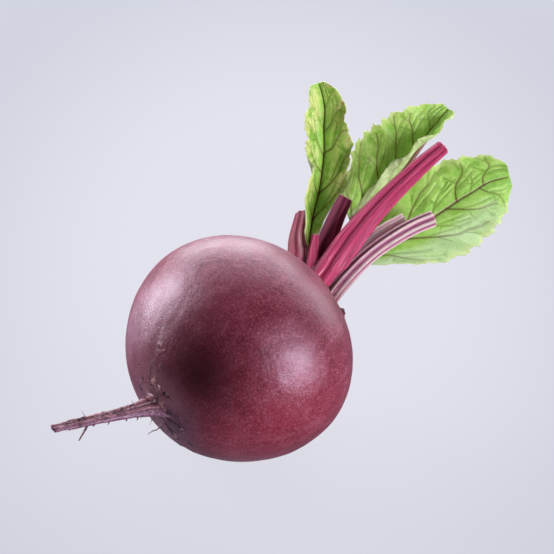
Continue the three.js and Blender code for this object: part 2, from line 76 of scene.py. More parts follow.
SIDE_ROOT_ROWS = (85, 265)
SIDE_ROOT_SPACING = 4.4
SIDE_ROOT_SINK = 0.8
SOLID_SCAR_DRAWS = 12  # random numbers that the solids use for the scars of each row

# Stalks: points along, far and up from the bulb's centre, then widths and depths from base to tip
STALKS = {
    "stalk_3": dict(
        points=[(31, -4.8, 5.6), (36.5, -5.4, 8.6), (44, -5.8, 13.5), (50.5, -6.2, 17.2), (64, -7.6, 23.1),
                (80, -9.8, 28.4), (90.5, -11.7, 31.4)],
        # stalk_3's band is painted shade along its upper edge, where its groove lies in shadow
        width=(11, 7.4, 4.8), depth=(4.6, 5.4, 4), rib=0.16, groove=(-25, 0.24, 22), band=(-86, 22, 0.3)),
    "stalk_5": dict(
        points=[(31, -8.6, 1.6), (36, -9, 4.4), (40, -9.6, 6.5), (45, -10.1, 8.4), (52, -11, 10.4),
                (60.7, -12.7, 11.8), (68.8, -14.5, 12.2), (76.5, -16.9, 12)],
        width=(6.5, 5.4, 5.4), depth=(4.2, 4.4, 4.2), rib=0.32, groove=(180, 0.2, 30)),
    "stalk_1": dict(
        points=[(31, 4.2, 7.8), (34.2, 5.8, 10.9), (37.4, 9, 12.4), (40.8, 12.2, 13.8), (45, 15.4, 14.8),
                (49.6, 18.8, 15.8)],
        width=(8.5, 6.6, 4.6), depth=(4, 4.2, 3), rib=0.2, groove=(180, 0.3, 30)),
    "stalk_2": dict(
        points=[(32, -1.5, 1), (37, 0.4, 5.6), (44.2, 1.8, 13.3), (51.7, 2.9, 19.9), (57.8, 3.7, 23.9)],
        # stalk_2's band is a painted lit edge along its left side
        width=(7, 7.4, 5), depth=(4, 4, 2.6), rib=0.16, groove=(0, 0.22, 24), band=(-105, 34, 0)),
    "stalk_4": dict(
        points=[(32, -4.5, 0), (38, -4.6, 3.2), (44, -4.2, 5.8), (50.5, -4.7, 8.2), (56.5, -5.5, 10.1),
                (62.5, -6.9, 11.3), (70.5, -9, 12)],
        width=(6.5, 5.4, 4.6), depth=(4, 4.2, 3.6), rib=0.3, groove=(180, 0.2, 30)),
    "heart_shoot": dict(
        points=[(31, -0.4, 8), (35.5, 0.5, 11), (38.6, 1.8, 14.8), (41.8, 3, 19)],
        width=(4.6, 3.8, 2.2), depth=(3.4, 3.2, 2), rib=0.08, groove=(180, 0.1, 30)),
}
STALK_RIBS = 7
STUB_CLOCKS = (215, 265, 320)
STUB_LENGTHS = (1.5, 4, 5.5)
STUB_OUT = 9
STUB_LEAN = math.radians(18)

LEAVES = {
    "leaf_1": dict(
        midrib=[(32.5, 1.2, 4), (36.8, 3.3, 8.7), (42, 7.5, 14.1), (49.1, 12.3, 17.8), (56.6, 16.4, 21.6),
                (61.4, 18.9, 26), (65.4, 21, 31), (68.6, 23, 37.2), (72, 24.6, 44.6), (73.4, 27, 53.6)],
        face=(-0.4, -0.75, 0.5),
        stalk_radius=(1.7, 1.15, 0.45), blade_from=0.16,
        left=dict(width=10, widest=0.45, base=0.5, tip=0.4, fold=(50, 25), bend=20, lean=40),
        right=dict(width=9.6, widest=0.45, base=0.7, tip=0.45, fold=(35, 30), bend=20, lean=40),
        waves=3.5, wave_height=0.9),
    "leaf_2": dict(
        midrib=[(33, -1.2, -2), (39, 0.9, 0.4), (49.8, 5, 7.2), (59.6, 6.6, 11.6), (66.2, 6, 13),
                (74.8, 5.4, 15.4), (84.6, 4.8, 18.9), (92.6, 4.7, 22.8), (98.4, 4.3, 25.6), (109, 3.8, 30)],
        face=(-0.23, 0.4, 0.89),
        stalk_radius=(1.7, 1.2, 0.45), blade_from=0.37,
        left=dict(width=17, widest=0.25, base=0.22, tip=0.7, fold=(75, 65), bend=10, lean=28),
        right=dict(width=6.4, widest=0.6, base=0.8, tip=0.5, fold=(85, -35), bend=25, lean=40),
        waves=4, wave_height=1.1),
    "leaf_3": dict(
        midrib=[(33, -3, -3), (39, -3, -1), (52.8, -3.8, 2.4), (69, -6.7, 3.6), (84.3, -9.7, 5.2),
                (93.4, -11.6, 6.6), (98.2, -12.9, 7.2), (105.6, -14.5, 7.8), (113.4, -17.8, 6.9)],
        face=(-0.45, -0.5, 0.75),
        stalk_radius=(1.8, 1.3, 0.45), blade_from=0.24,
        left=dict(width=14.6, widest=0.4, base=0.42, tip=0.5, fold=(10, 5), bend=0, lean=28),
        right=dict(width=15.5, widest=0.4, base=0.9, tip=0.5, fold=(0, -10), bend=-25, lean=40),
        waves=4, wave_height=1.2),
}
SOLID_BLADE_THICKNESS = 0.8
BLADE_THICKNESS = 0.42
CLEARANCE = 0.3

ALONG = np.array([math.cos(AXIS_TILT), 0, math.sin(AXIS_TILT)])
FAR = np.array([0.0, 1, 0])
UP = np.cross(ALONG, FAR)
BULB_CENTRE = np.array([
    -REST_SPOT_ALONG, -REST_SPOT_FAR,
    math.hypot(BULB_RADIUS * math.cos(AXIS_TILT), BULB_CROWN_POLE * math.sin(AXIS_TILT)) - REST_FLAT_DEPTH])
AXES = np.stack([ALONG, FAR, UP])


# Helpers for numbers and shapes

def at(along, far, up):
    """Points of the part from distances along the root's axis, to its far side and up, in millimetres."""
    return BULB_CENTRE + np.stack(np.broadcast_arrays(along, far, up), -1) @ AXES


def direction(three):
    way = np.asarray(three, float) @ AXES
    return way / np.linalg.norm(way)


def unit(vectors):
    return vectors / np.maximum(np.linalg.norm(vectors, axis=-1, keepdims=True), 1e-12)


def mix(low, high, share):
    return low + (high - low) * share


def smoothstep(low, high, value):
    share = np.clip((value - low) / (high - low), 0, 1)
    return share * share * (3 - 2 * share)


def hill(away):
    """A smooth hill, 1 in its middle and 0.37 at one width away."""
    return np.exp(-(away**2))


def along_three(three, share):
    return np.interp(share, [0, 0.5, 1], three)


def noise(points, size, seed=0, octaves=1):
    """Smooth random values from -1 to 1, with features about size across."""
    total = np.zeros(points.shape[:-1])
    strength, spread = 1.0, 0.0
    for octave in range(octaves):
        place = points / size * 2**octave + 31.7 * (seed + 1) + 5.3 * octave
        cell = np.floor(place).astype(np.int64)
        part = place - cell
        part = part * part * (3 - 2 * part)
        value = np.zeros(points.shape[:-1])
        for corner in np.ndindex(2, 2, 2):
            x, y, z = np.moveaxis(cell + corner, -1, 0)
            code = (x * 73856093) ^ (y * 19349663) ^ (z * 83492791) ^ (seed * 2654435)
            code = (code ^ (code >> 13)) * 1274126177 & 0xFFFFFFFF
            level = ((code ^ (code >> 16)) & 0xFFFF) / 32767.5 - 1
            weight = np.prod(np.where(corner, part, 1 - part), axis=-1)
            value += weight * level
        total += value * strength
        spread += strength
        strength *= 0.5
    return total / spread


def seeded_random(seed):
    """The same seeded numbers from 0 to 1 that place the side roots of the solids."""
    state = seed
    while True:
        state = (state * 1664525 + 1013904223) % 4294967296
        yield state / 4294967296


class Path:
    """A centripetal curve through points, read by its share of the length."""

    def __init__(self, points):
        places = at(*np.array(points, float).T)
        padded = np.vstack([2 * places[0] - places[1], places, 2 * places[-1] - places[-2]])
        fine = []
        for i in range(len(places) - 1):
            a, b, c, d = padded[i:i + 4]
            steps = [max(np.linalg.norm(q - p) ** 0.5, 1e-6) for p, q in ((a, b), (b, c), (c, d))]
            out = ((b - a) / steps[0] - (c - a) / (steps[0] + steps[1]) + (c - b) / steps[1]) * steps[1]
            into = ((c - b) / steps[1] - (d - b) / (steps[1] + steps[2]) + (d - c) / steps[2]) * steps[1]
            t = np.linspace(0, 1, 60, endpoint=False)[:, None]
            fine.append(b * (2 * t**3 - 3 * t**2 + 1) + out * (t**3 - 2 * t**2 + t)
                        + c * (-2 * t**3 + 3 * t**2) + into * (t**3 - t**2))
        self.fine = np.vstack(fine + [places[-1:]])
        run = np.r_[0, np.cumsum(np.linalg.norm(np.diff(self.fine, axis=0), axis=1))]
        self.length = run[-1]
        self.run = run / run[-1]

    def point(self, share):
        return np.stack([np.interp(share, self.run, self.fine[:, k]) for k in range(3)], -1)

    def tangent(self, share):
        step = 0.01
        return unit(self.point(np.minimum(share + step, 1)) - self.point(np.maximum(share - step, 0)))


def add_object(name, data):
    made = bpy.data.objects.new(name, data)
    bpy.context.scene.collection.objects.link(made)
    return made


def make_mesh(name, points, faces, values=None, uv=None):
    """A smooth-shaded mesh from points in millimetres, with point values and a UV map for its material."""
    mesh = bpy.data.meshes.new(name)
    mesh.from_pydata((points * MM).tolist(), [], faces)
    for key, value in (values or {}).items():
        layer = mesh.attributes.new(key, "FLOAT", "POINT")
        layer.data.foreach_set("value", np.ascontiguousarray(value, dtype=np.float32).ravel())
    if uv is not None:
        layer = mesh.uv_layers.new(name="UVMap")
        corners = np.zeros(len(mesh.loops), np.int32)
        mesh.loops.foreach_get("vertex_index", corners)
        layer.data.foreach_set("uv", uv[corners].astype(np.float32).ravel())
    mesh.polygons.foreach_set("use_smooth", np.ones(len(mesh.polygons), bool))
    mesh.update()
    return add_object(name, mesh)


def dress(piece, slot, material, *nodes):
    """Gives a piece its material and body, and hides the solids that it replaces; slot is not used."""
    piece.data.materials.append(material)
    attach(piece, "root")
    if nodes:
        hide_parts(*nodes)


def angles(sides):
    return np.arange(sides) / sides * 2 * math.pi


def sweep(centre, side, out, across, outward):
    """Rings of points round a line, from distances to its side and outward."""
    return centre[:, None] + side[:, None] * across[..., None] + out[:, None] * outward[..., None]


def tube_faces(rings, sides):
    """Quads of a tube of rings, and a fan at each end round two extra last points."""
    faces = []
    for ring in range(rings - 1):
        for side in range(sides):
            a, b = ring * sides + side, ring * sides + (side + 1) % sides
            faces.append((a, b, b + sides, a + sides))
    first, last = rings * sides, rings * sides + 1
    top = (rings - 1) * sides
    for side in range(sides):
        after = (side + 1) % sides
        faces.append((first, after, side))
        faces.append((last, top + side, top + after))
    return faces


def make_tube(name, points, ends, values, across, along):
    """A closed tube from rings of points and the middle of each end, with point values and a UV map."""
    grid = points.shape[:2]
    flat_values = {}
    for key, value in values.items():
        value = np.broadcast_to(value, grid)
        flat_values[key] = np.r_[value.ravel(), value[0].mean(), value[-1].mean()]
    uv = np.stack([np.broadcast_to(part, grid) for part in (across, along)], -1).reshape(-1, 2)
    uv = np.vstack([uv, uv[:1], uv[-1:]])
    return make_mesh(name, np.vstack([points.reshape(-1, 3), *ends]), tube_faces(*grid), flat_values, uv)


# Materials

class Shader:
    """Builds a material's nodes with short calls."""

    def __init__(self, name):
        self.material = bpy.data.materials.new(name)
        self.material.use_nodes = True
        self.tree = self.material.node_tree
        self.surface = self.tree.nodes["Principled BSDF"]

    def link(self, source, socket):
        if isinstance(source, bpy.types.NodeSocket):
            self.tree.links.new(source, socket)
        else:
            socket.default_value = source

    def node(self, kind, inputs=None, **settings):
        made = self.tree.nodes.new("ShaderNode" + kind)
        for key, value in settings.items():
            setattr(made, key, value)
        for key, value in (inputs or {}).items():
            self.link(value, made.inputs[key])
        return made

    def coordinates(self, stretch=(1, 1, 1), kind="Object"):
        source = self.node("TexCoord").outputs[kind]
        return self.node("Mapping", {"Vector": source, "Scale": stretch}).outputs["Vector"]

    def noise(self, scale, detail=2.0, roughness=0.5, vector=None):
        inputs = {"Scale": scale, "Detail": detail, "Roughness": roughness}
        inputs["Vector"] = vector if vector is not None else self.coordinates()
        return self.node("TexNoise", inputs).outputs["Fac"]

    def streaks(self, across, along, detail=3, roughness=0.6):
        """Noise on the UV map, with one scale across a piece and one along it."""
        return self.noise(1.0, detail, roughness, self.coordinates((across, along, 1), "UV"))

    def value(self, name):
        return self.node("Attribute", attribute_name=name).outputs["Fac"]

    def math(self, operation, a, b=0.0, clamp=False):
        made = self.node("Math", operation=operation, use_clamp=clamp)
        self.link(a, made.inputs[0])
        self.link(b, made.inputs[1])
        return made.outputs[0]

    def times(self, a, b, clamp=False):
        return self.math("MULTIPLY", a, b, clamp)

    def ramp(self, value, low, high, out_low=0.0, out_high=1.0):
        inputs = {"Value": value, "From Min": low, "From Max": high, "To Min": out_low, "To Max": out_high}
        return self.node("MapRange", inputs, interpolation_type="SMOOTHSTEP").outputs["Result"]

    def blend(self, share, a, b):
        made = self.node("Mix", data_type="RGBA", blend_type="MIX")
        self.link(share, made.inputs["Factor"])
        self.link(colour(a), made.inputs[6])
        self.link(colour(b), made.inputs[7])
        return made.outputs[2]

    def painted(self, base, *coats):
        """A base colour with coats of other colours over it, each with its share."""
        for share, tone in coats:
            base = self.blend(share, base, tone)
        return base

    def finish(self, base, roughness, bump_height=None, bump_distance=0.0, bump_strength=1.0, **constants):
        self.link(base, self.surface.inputs["Base Color"])
        self.link(roughness, self.surface.inputs["Roughness"])
        for key, value in constants.items():
            self.surface.inputs[key.replace("_", " ").title().replace("Ior", "IOR")].default_value = value
        if bump_height is not None:
            inputs = {"Height": bump_height, "Distance": bump_distance, "Strength": bump_strength}
            self.link(self.node("Bump", inputs).outputs["Normal"], self.surface.inputs["Normal"])
        return self.material


def colour(value):
    """A colour given as red, green and blue from 0 to 255 as seen on a screen, as the shader wants it."""
    if isinstance(value, bpy.types.NodeSocket):
        return value
    linear = []
    for part in value:
        share = part / 255
        linear.append(share / 12.92 if share <= 0.04045 else ((share + 0.055) / 1.055) ** 2.4)
    return tuple(linear) + (1.0,)


def skin_material():
    """Purple-red skin with speckle, zones of painted shade, redder zones that are partly painted light
    bounced from the floor, a painted reflection along the rim, a lavender taproot and a brown crown.
    """
    s = Shader("beet_skin")
    cork, dirt_and_shade, tail, crown, shade, flush_and_bounce_light, painted_rim_reflection = (
        s.value(key) for key in ("cork", "dirt_and_shade", "tail", "crown", "shade", "flush_and_bounce_light", "painted_rim_reflection"))
    broad = s.noise(26, 2)
    mottle = s.noise(170, 4, 0.6)
    grain = s.noise(1500, 3, 0.65)
    streak = s.streaks(80, 9)
    base = s.painted(
        s.blend(s.ramp(broad, 0.35, 0.68), (94, 25, 42), (110, 33, 52)),
        # redder patches: partly the skin's own colour, partly painted light bounced up from the floor
        (flush_and_bounce_light, (128, 32, 50)),
        (s.ramp(mottle, 0.45, 0.75, 0, 0.3), (140, 66, 86)),
        (s.ramp(mottle, 0.5, 0.28, 0, 0.28), (52, 14, 24)),
        (s.ramp(streak, 0.5, 0.75, 0, 0.32), (152, 84, 100)),
        (s.ramp(grain, 0.5, 0.7, 0, 0.5), (158, 92, 108)),
        (s.ramp(grain, 0.5, 0.28, 0, 0.5), (40, 8, 16)),
        # painted shade: dark patches where the bulb is turned away from the lamps
        (shade, (42, 4, 9)),
        # painted reflection: pale lavender patches along the rim, where it would mirror the pale floor and
        # backdrop
        (s.times(painted_rim_reflection, s.ramp(mottle, 0.3, 0.7, 0.7, 1.0)), (160, 124, 148)),
        (s.times(tail, s.ramp(mottle, 0.3, 0.7, 0.6, 0.95)), (126, 88, 112)),
        (s.times(tail, s.ramp(s.value("top"), 0.2, 0.9, 0, 0.7)), (132, 82, 80)),
        # painted shade: darker down the taproot's grooves
        (s.times(s.value("groove"), 0.7), (74, 30, 44)),
        (s.times(crown, s.ramp(mottle, 0.3, 0.65, 0.2, 0.8)), (128, 78, 60)),
        # dark brown soil marks, and painted shadow in the hollows below the scars' lips
        (s.times(dirt_and_shade, s.ramp(grain, 0.3, 0.6, 0.55, 1.0)), (46, 26, 28)),
        (s.times(cork, s.ramp(grain, 0.25, 0.6, 0.45, 0.95)), (176, 130, 126)),
    )
    rough = s.ramp(mottle, 0.3, 0.7, 0.37, 0.46)
    rough = s.math("ADD", rough, s.times(s.math("MAXIMUM", cork, dirt_and_shade), 0.3))
    rough = s.math("SUBTRACT", rough, s.times(tail, 0.04), clamp=True)
    height = s.math("ADD", s.times(grain, 0.6), mottle)
    # less reflection inside the painted shade patches, which keeps them dark
    shine = s.math("SUBTRACT", 0.6, s.times(shade, 0.38))
    s.link(shine, s.surface.inputs["Specular IOR Level"])
    return s.finish(base, rough, height, 0.00014, 1.0, specular_tint=(0.88, 0.76, 1.0, 1.0),
                    sheen_weight=0.1, sheen_roughness=0.4, sheen_tint=(0.85, 0.6, 0.8, 1.0))


def root_hair_material():
    s = Shader("beet_root_hairs")
    grain = s.noise(900, 3)
    base = s.blend(s.ramp(grain, 0.35, 0.65), (60, 36, 40), (128, 96, 100))
    return s.finish(base, 0.75, grain, 0.0001)


def stalk_material(name, ground, pale, dark, band_shading_colour, foot_colour_and_shade, pale_share, striped=0.0, glow=0.0):
    """Skin of a stalk. striped turns the ridges pale and the furrows dark, glow lets light in. The band is
    painted shading, gap is painted shade between the stalks' feet, and the foot colour is painted shade on
    the striped and cream stalks.
    """
    s = Shader(name)
    band, foot, end, ridge, gap = (s.value(key) for key in ("band", "foot", "end", "ridge", "gap"))
    streak = s.streaks(26, 1.2)
    fine = s.streaks(110, 5, roughness=0.7)
    thread = s.streaks(44, 2.4, detail=2)
    grain = s.noise(1400, 2)
    stripe = s.math("ADD", s.times(ridge, striped), s.times(streak, 1 - striped))
    base = s.painted(
        ground,
        (s.ramp(stripe, 0.5, 0.68, 0, pale_share), pale),
        (s.ramp(stripe, 0.47, 0.3, 0, 0.85), dark),
        (s.ramp(fine, 0.54, 0.72, 0, 0.45), pale),
        (s.ramp(fine, 0.46, 0.28, 0, 0.4), dark),
        # foot colour: the stalk's own colour at its base, but painted shade on the striped and cream stalks
        (s.times(foot, s.ramp(fine, 0.3, 0.6, 0.95, 0.6)), foot_colour_and_shade),
        # painted shading band: shade in the groove or on the shaded edge, a lit edge on the dark stalk
        (s.times(band, s.ramp(fine, 0.3, 0.7, 1, 0.8)), band_shading_colour),
        (s.times(foot, s.ramp(thread, 0.57, 0.66, 0, 0.8)), (236, 186, 190)),
        # painted shade: dark between neighbouring stalks near their feet
        (gap, (44, 8, 20)),
        (s.times(end, s.ramp(grain, 0.3, 0.7, 0.6, 0.95)), (206, 128, 150)),
    )
    rough = s.ramp(streak, 0.3, 0.7, 0.4, 0.52)
    height = s.math("ADD", fine, s.times(ridge, 0.6))
    return s.finish(base, rough, height, 0.0003, 0.9, specular_ior_level=0.28, subsurface_weight=glow,
                    subsurface_radius=(1.0, 0.6, 0.7), subsurface_scale=0.002)


def leaf_material():
    """Mottled green with dark red veins, a paler underside, yellow and spotted zones, and a pale painted
    sheen.
    """
    s = Shader("beet_leaf")
    midrib, side_vein, upper, near_vein = (s.value(key) for key in ("midrib", "vein", "upper", "near_vein"))
    margin, yellow, painted_sheen, spots = (s.value(key) for key in ("margin", "yellow", "painted_sheen", "spots"))
    broad = s.noise(110, 3)
    patch = s.noise(330, 4, 0.65)
    grain = s.noise(1500, 3, 0.6)
    top = s.painted(
        s.blend(s.ramp(broad, 0.35, 0.65), (112, 160, 56), (134, 178, 74)),
        (s.ramp(patch, 0.42, 0.7, 0, 0.5), (160, 192, 110)),
        (s.ramp(patch, 0.48, 0.28, 0, 0.4), (90, 140, 42)),
        (s.times(near_vein, 0.22), (96, 140, 44)),
        (s.times(yellow, s.ramp(patch, 0.36, 0.56)), (184, 192, 120)),
        # painted sheen: the right half of a blade paler beyond its fold, where it would catch the light
        (painted_sheen, (152, 176, 136)),
        (s.ramp(grain, 0.5, 0.72, 0, 0.35), (166, 192, 124)),
        (s.ramp(grain, 0.48, 0.3, 0, 0.3), (84, 124, 42)),
        (s.times(margin, 0.5), (176, 186, 126)),
    )
    under = s.blend(s.ramp(patch, 0.35, 0.65), (146, 174, 104), (172, 190, 136))
    under = s.blend(s.times(margin, 0.6), under, (180, 190, 142))
    base = s.painted(
        s.blend(upper, under, top),
        (s.times(side_vein, s.ramp(grain, 0.2, 0.7, 1.0, 1.2), clamp=True), (66, 13, 11)),
        (midrib, (78, 20, 20)),
        (s.times(spots, s.ramp(patch, 0.5, 0.62)), (142, 96, 66)),
    )
    rough = s.ramp(patch, 0.3, 0.7, 0.42, 0.55)
    height = s.math("ADD", patch, s.times(grain, 0.4))
    return s.finish(base, rough, height, 0.00018, 0.9, specular_ior_level=0.3, subsurface_weight=0.16,
                    subsurface_radius=(0.8, 1.0, 0.5), subsurface_scale=0.003)


def leaf_stalk_material():
    s = Shader("beet_leaf_stalk")
    streak = s.streaks(16, 3)
    base = s.blend(s.ramp(streak, 0.35, 0.65), (104, 42, 60), (150, 76, 92))
    base = s.blend(s.value("under"), base, (110, 68, 60))
    return s.finish(base, 0.42, streak, 0.0002, specular_ior_level=0.5)


# The root

def root_radius(along):
    pole = np.where(along < 0, BULB_TAIL_POLE, BULB_CROWN_POLE)
    bulb = BULB_RADIUS * np.sqrt(np.maximum(0, 1 - (along / pole) ** 2))
    beyond = np.maximum(0, -along - TAIL_START)
    thin = (TAIL_TIP_RADIUS + TAIL_SWELL * np.exp(-beyond / TAIL_SWELL_LENGTH)
            + TAIL_FLARE * np.exp(-beyond / TAIL_FLARE_LENGTH))
    rooted = smoothstep(TAIL_ROOTED_FROM, TAIL_START, -along)
    neck = CROWN_NECK_RADIUS * (1 - smoothstep(CROWN_NECK_START, CROWN_TOP, along) ** 2)
    return np.where(along < 0, np.hypot(bulb, thin * rooted), np.maximum(bulb, neck))


def clock_apart(clock, degrees):
    """Signed angle from a clock position, in radians."""
    return np.angle(np.exp(1j * (clock - math.radians(degrees))))


def round_hills(along, clock, places):
    """A hill on the bulb for each place: clock and latitude in degrees, height, spread in degrees."""
    latitude = np.arcsin(np.clip(along / BULB_TAIL_POLE, -1, 1))
    for round_at, north, height, spread in places:
        cosine = (np.sin(latitude) * math.sin(math.radians(north))
                  + np.cos(latitude) * math.cos(math.radians(north)) * np.cos(clock_apart(clock, round_at)))
        yield height * hill(np.degrees(np.arccos(np.clip(cosine, -1, 1))) / spread)


def unevenness(along, clock):
    """The swellings and dents of the bulb, in millimetres."""
    lift = sum(round_hills(along, clock, SWELLINGS))
    return lift * smoothstep(0, 12, root_radius(along) - CROWN_NECK_RADIUS)


def tail_bend(along):
    beyond = np.maximum(0, -along - TAIL_START)
    reach = beyond - 2 * (1 - np.exp(-beyond / 2))
    return reach * TAIL_BEND_FAR, reach * TAIL_BEND_UP + TAIL_RISE * smoothstep(0, TAIL_RISE_LENGTH, beyond)


def skin_point(along, clock, proud=0.0):
    far, up = tail_bend(along)
    radius = root_radius(along) + unevenness(along, clock) + proud
    return at(along, radius * np.cos(clock) + far, radius * np.sin(clock) + up)


# The skin's mesh
TAIL_RINGS = 150
BULB_RINGS = 280
BULB_LATITUDES = (-79, 69)
NECK_RINGS = 24
ROOT_SIDES = 400
FLOOR_GAP = 0.02
TAIL_END_ROUNDING = 0.4

# The crust round the taproot's base lies where the root is about this thick
COLLAR_RADIUS = 5.6
COLLAR_WIDTH = 2.4 / math.sqrt(2)

SCARS = [  # latitude and clock in degrees, half length and half height in millimetres, how dark
    (-55, 91, 1.2, 0.4, 0.5), (-57, 97, 0.5, 0.3, 0.3), (-66, 86, 1.0, 0.4, 0.6),
    (-66, 99, 0.7, 0.35, 0.4), (-72, 80, 0.6, 0.3, 0.5), (-76, 90, 1.4, 0.5, 0.5),
    (-79, 104, 1.1, 0.4, 0.5), (-47, 268, 1.0, 0.3, 0.9), (-55, 262, 0.7, 0.4, 0.9),
    (-61, 270, 1.3, 0.4, 0.9), (-66, 232, 0.9, 0.4, 0.9), (-67, 262, 0.8, 0.4, 0.9),
    (-71, 283, 1.3, 0.4, 0.9), (-76, 250, 1.2, 0.4, 0.9), (-79, 207, 1.1, 0.4, 0.9),
]

# Grooves along the taproot: clock in degrees, depth as a share of the radius
TAIL_GROOVES = [(118, 0.26), (172, 0.2), (232, 0.22), (300, 0.22), (20, 0.22)]
TAIL_GROOVE_SPREAD = 0.3
TAIL_TWIST = 0.006

# Patches of colour: a noise seed, then clock and latitude in degrees, strength, spread in degrees. The darker
# patches are painted shade; the redder patches are partly the skin's own colour and partly painted light
# bounced up from the floor; the pale lavender patches are a painted reflection along the rim.
PATCHES = {
    # darker patches: painted shade
    "shade": (19, [(131, -50, 0.92, 23), (120, -68, 0.7, 17), (300, 5, 0.4, 40), (140, 12, 0.3, 14)]),
    # redder patches: partly the skin's own colour, partly painted bounce light from the floor
    "flush_and_bounce_light": (20, [(178, -25, 0.8, 34), (190, -54, 0.7, 26), (250, 12, 0.35, 40), (20, 10, 0.3, 36)]),
    # pale lavender patches: a painted reflection along the rim
    "painted_rim_reflection": (27, [(45, -50, 0.45, 17), (258, -72, 0.38, 12)]),
}


def root_stations():
    """Places along the axis for the root's rings, closest together round the taproot's base."""
    tail = -mix(TAIL_END, TAIL_START + 0.2, np.linspace(0, 1, TAIL_RINGS, endpoint=False) ** 0.85)
    latitude = np.radians(mix(*BULB_LATITUDES, np.linspace(0, 1, BULB_RINGS) ** 1.15))
    bulb = np.where(latitude < 0, BULB_TAIL_POLE, BULB_CROWN_POLE) * np.sin(latitude)
    neck = mix(CROWN_NECK_START, CROWN_TOP, np.linspace(0.02, 0.97, NECK_RINGS))
    return np.r_[tail, bulb, neck[neck > bulb[-1]]]


def build_root():
    """The swollen root, crown and taproot, with relief and colour values at each point."""
    along, clock = np.meshgrid(root_stations(), angles(ROOT_SIDES), indexing="ij")
    plain = skin_point(along, clock)
    radius = root_radius(along)
    beyond = np.maximum(0, -along - TAIL_START)
    on_tail = smoothstep(-1.5, 3, -along - TAIL_START)
    near_tail = np.exp(-np.maximum(0, radius - 6) / 5)
    on_crown = smoothstep(26, 33, along)

    # Broad dents and fine wrinkles of the bulb, ribs and knots of the taproot
    proud = 0.2 * noise(plain, 9, 1, 2) + 0.05 * noise(plain, 2.6, 2, 2) + 0.02 * noise(plain, 0.9, 14)
    lengthwise = np.stack([np.cos(clock) * 16, np.sin(clock) * 16, along * 0.1], -1)
    proud += 0.07 * noise(lengthwise, 1.0, 15, 2) * smoothstep(-8, -30, along)
    folds = noise(np.stack([np.cos(clock) * 9, np.sin(clock) * 9, along * 0.12], -1), 1.0, 3, 2)
    proud += near_tail * (1 - on_tail) * 0.05 * folds
    rings = noise(np.stack([along * 1.6, np.cos(clock) * 1.3, np.sin(clock) * 1.3], -1), 1.0, 4, 2)
    proud += near_tail * 0.14 * rings + on_crown * 0.35 * rings
    grooves = sum(depth * hill(clock_apart(clock + TAIL_TWIST * beyond, where) / TAIL_GROOVE_SPREAD)
                  for where, depth in TAIL_GROOVES)
    proud -= on_tail * radius * grooves
    proud += on_tail * (0.04 * folds + 0.16 * noise(plain, 2.6, 5, 2) + 0.06 * noise(plain, 0.8, 16, 2))
    on_top = np.maximum(0, np.sin(clock - math.radians(8)))
    knots = on_tail * on_top**3 * smoothstep(0.05, 0.4, noise(plain, 2.1, 25, 2))
    proud += 0.35 * knots

    cork = np.zeros_like(along)
    dirt_and_shade = 0.9 * knots
    crumbs = smoothstep(-0.15, 0.3, noise(plain, 0.8, 26, 2))
    for north, round_at, half_round, half_high, dark in SCARS:
        place = BULB_TAIL_POLE * math.sin(math.radians(north))
        middle = skin_point(np.array(place), np.array(math.radians(round_at)))
        away = plain - middle
        axis_part = away @ ALONG
        tangent = unit(np.cross(ALONG, unit(middle - BULB_CENTRE)))
        round_part = away @ tangent
        ragged = 1 + 0.45 * noise(plain, 0.9, 6, 2)
        bowed = axis_part + 0.25 * half_high * noise(plain, 1.4, 17) + 0.12 * round_part**2 / half_round
        near = np.linalg.norm(away, axis=-1) < 6
        lip = np.exp(-(((round_part / half_round) ** 2) ** 1.5 + (bowed / half_high) ** 2) * ragged) * near
        slit = np.exp(-((round_part / half_round) ** 2 + ((bowed + 1.7 * half_high) / half_high) ** 2)) * near
        proud += 0.3 * lip - 0.25 * slit
        crust = np.exp(-((round_part / (1.6 * half_round)) ** 2 + (bowed / (2.6 * half_high)) ** 2)) * near
        cork = np.maximum(cork, smoothstep(0.35, 0.8, lip) * crumbs * 0.8)
        # painted shadow: the hollow below each scar's lip is darkened
        dirt_and_shade = np.maximum(dirt_and_shade, smoothstep(0.3, 0.7, slit) * dark)
        dirt_and_shade = np.maximum(dirt_and_shade, smoothstep(0.25, 0.8, crust) * (1 - crumbs) * dark)
    for row in SIDE_ROOT_ROWS:
        apart = np.abs(clock_apart(clock, row)) * radius
        furrow = hill(apart / 1.6) * smoothstep(-22, -33, along) * (1 - on_tail)
        proud -= 0.3 * furrow
        # darker along the furrows of the side-root rows
        dirt_and_shade = np.maximum(dirt_and_shade, furrow * smoothstep(0.05, 0.5, noise(plain, 0.9, 7, 3)) * 0.5)
    collar = hill((radius - COLLAR_RADIUS) / COLLAR_WIDTH) * (along < 0)
    proud += collar * 0.3 * noise(plain, 1.6, 18, 2)
    dirt_and_shade = np.maximum(dirt_and_shade, collar * smoothstep(-0.1, 0.4, noise(plain, 1.8, 8, 3)))
    cork = np.maximum(cork, collar * smoothstep(0.15, 0.45, noise(plain, 1.2, 9, 2)) * 0.7)
    dirt_and_shade = np.maximum(dirt_and_shade, on_tail * smoothstep(0.15, 0.5, noise(plain, 1.5, 10, 2)) * 0.8)
    points = skin_point(along, clock, proud)
    points[..., 2] = np.maximum(points[..., 2], FLOOR_GAP)

    end = -TAIL_END - TAIL_END_ROUNDING
    ends = at(end, *tail_bend(np.array(end))), at(CROWN_TOP, 0, 0)
    values = {
        "cork": cork, "dirt_and_shade": dirt_and_shade, "tail": smoothstep(-3, 4, -along - TAIL_START),
        # groove: how deep a point lies in a taproot groove, for the painted shade there
        "crown": smoothstep(25, 33.5, along), "top": on_top, "groove": on_tail * np.minimum(1, 4 * grooves),
    }
    for key, (seed, places) in PATCHES.items():
        wavy = along + 2 * noise(plain, 14, seed, 2)
        values[key] = np.max(list(round_hills(wavy, clock, places)), axis=0) * (1 - on_tail)
    return make_tube("beet_root_skin", points, ends, values, clock / (2 * math.pi), along / 100)


